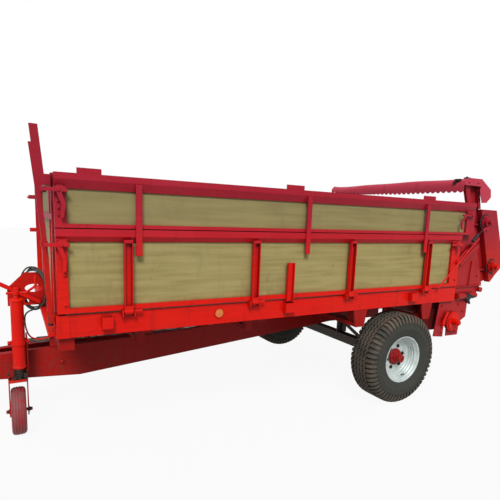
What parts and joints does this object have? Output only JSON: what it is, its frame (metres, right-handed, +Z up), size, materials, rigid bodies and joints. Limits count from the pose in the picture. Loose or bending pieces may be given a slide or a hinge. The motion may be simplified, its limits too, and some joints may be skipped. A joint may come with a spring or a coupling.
{
  "type": "muck spreader wagon",
  "caption": "Towed single-axle muck spreader wagon with tapered chassis plates, folding boarded sides, scraper floor and cross beaters under a toothed hood.",
  "frame": {"origin": "on the ground under the middle of the length and width", "axes": "+X forwards to the towing eye, +Y to the left, +Z up"},
  "size_m": [5.971, 2.3, 2.16],
  "materials": {
    "red_paint": "satin",
    "red_sheet": "satin",
    "board_paint": "satin",
    "rim_paint": "satin",
    "tyre": "matte",
    "bare_steel": "worn",
    "dark_iron": "matte",
    "hose_rubber": "matte"
  },
  "bodies": {
    "chassis": {"chassis_frame": "red_paint", "hitch_eye": "red_paint", "axle_beam": "red_paint", "cross_members": "red_paint", "sill_left": "red_paint", "sill_right": "red_paint", "floor": "bare_steel", "front_frame": "red_paint", "front_boards": "board_paint", "front_post_left": "red_sheet", "rear_post_left": "red_sheet", "rear_post_right": "red_sheet", "hood": "red_sheet", "spreader_side_left": "red_sheet", "spreader_side_right": "red_sheet", "conveyor": "bare_steel", "pawl_lever": "red_paint", "gearbox": "dark_iron", "chain_case": "red_sheet", "jockey_sleeve": "red_paint", "hose_holder": "red_sheet", "control_bar": "red_paint", "hose": "hose_rubber"},
    "wheel_left": {"tyre_left": "tyre", "rim_left": "rim_paint", "hub_left": "red_paint"},
    "wheel_right": {"tyre_right": "tyre", "rim_right": "rim_paint", "hub_right": "red_paint"},
    "side_left": {"side_frame_left": "red_paint", "side_extension_left": "red_paint", "side_boards_left": "board_paint", "latches_left": "red_paint", "loose_stake": "red_paint"},
    "side_right": {"side_frame_right": "red_paint", "side_extension_right": "red_paint", "side_boards_right": "board_paint", "latches_right": "red_paint"},
    "upper_beater": {"beater_upper": "red_paint"},
    "lower_beater": {"beater_lower": "red_paint"},
    "conveyor_drive": {"conveyor_shaft": "bare_steel"},
    "drive_input": {"input_shaft": "bare_steel"},
    "jockey_leg_body": {"jockey_leg": "red_paint"},
    "jockey_wheel_body": {"jockey_wheel": "red_paint"},
    "crank": {"jockey_crank": "red_paint"}
  },
  "joints": [
    {"name": "wheel_left_spin", "type": "hinge", "parent": "chassis", "child": "wheel_left", "pos_m": [-1.3625, 1, 0.4225], "axis": [0, 1, 0], "continuous": true},
    {"name": "wheel_right_spin", "type": "hinge", "parent": "chassis", "child": "wheel_right", "pos_m": [-1.3625, -1, 0.4225], "axis": [0, 1, 0], "continuous": true},
    {"name": "side_left_hinge", "type": "hinge", "parent": "chassis", "child": "side_left", "pos_m": [0, 1.062, 1.058], "axis": [-1, 0, 0], "range_deg": [0, 110]},
    {"name": "side_right_hinge", "type": "hinge", "parent": "chassis", "child": "side_right", "pos_m": [0, -1.062, 1.058], "axis": [1, 0, 0], "range_deg": [0, 110]},
    {"name": "beater_upper_spin", "type": "hinge", "parent": "chassis", "child": "upper_beater", "pos_m": [-2.5525, 0, 1.72], "axis": [0, 1, 0], "continuous": true},
    {"name": "beater_lower_spin", "type": "hinge", "parent": "chassis", "child": "lower_beater", "pos_m": [-2.7475, 0, 1.25], "axis": [0, 1, 0], "continuous": true},
    {"name": "conveyor_shaft_spin", "type": "hinge", "parent": "chassis", "child": "conveyor_drive", "pos_m": [-2.1825, 0, 0.69], "axis": [0, 1, 0], "continuous": true},
    {"name": "input_shaft_spin", "type": "hinge", "parent": "chassis", "child": "drive_input", "pos_m": [-0.3005, 0, 0.635], "axis": [1, 0, 0], "continuous": true},
    {"name": "jockey_slide", "type": "slide", "parent": "chassis", "child": "jockey_leg_body", "axis": [0, 0, -1], "range_m": [0, 0.2]},
    {"name": "jockey_wheel_spin", "type": "hinge", "parent": "jockey_leg_body", "child": "jockey_wheel_body", "pos_m": [1.7675, 0.285, 0.178], "axis": [1, 0, 0], "continuous": true},
    {"name": "jockey_crank_turn", "type": "hinge", "parent": "chassis", "child": "crank", "pos_m": [1.7675, 0.285, 1.06], "axis": [0, 0, 1], "continuous": true}
  ]
}
